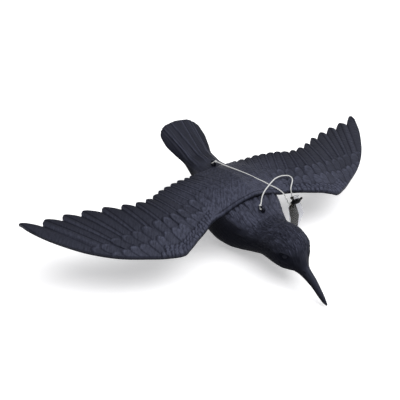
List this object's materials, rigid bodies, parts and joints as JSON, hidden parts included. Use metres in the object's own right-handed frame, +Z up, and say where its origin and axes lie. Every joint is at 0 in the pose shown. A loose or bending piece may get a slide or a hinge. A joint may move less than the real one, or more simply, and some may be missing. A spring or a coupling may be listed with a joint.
{
  "type": "flying crow decoy",
  "caption": "Hollow black plastic crow decoy with spread wings, lying on its belly, with a white hanging cord and a small clear pouch tied to it.",
  "frame": {"origin": "on the ground, under the middle of the bird's length and span", "axes": "+Z up from the ground it lies on, +X along the wings to the bird's left wing tip, -Y the way the head points"},
  "size_m": [0.54, 0.3416, 0.0977],
  "materials": {
    "black_plastic": "matte moulded feather grain",
    "wing_plastic": "matte moulded feather grain",
    "white_cord": "thin braided cord",
    "clear_film": "thin clear film, creased",
    "folded_slip": "folded grey-brown slip",
    "black_tie": "flat black tie"
  },
  "bodies": {
    "root": {"body": "black_plastic", "wing_panel": "wing_plastic", "cord": "white_cord", "pouch": "clear_film", "pouch_slip": "folded_slip", "pouch_tie": "black_tie"}
  },
  "joints": []
}
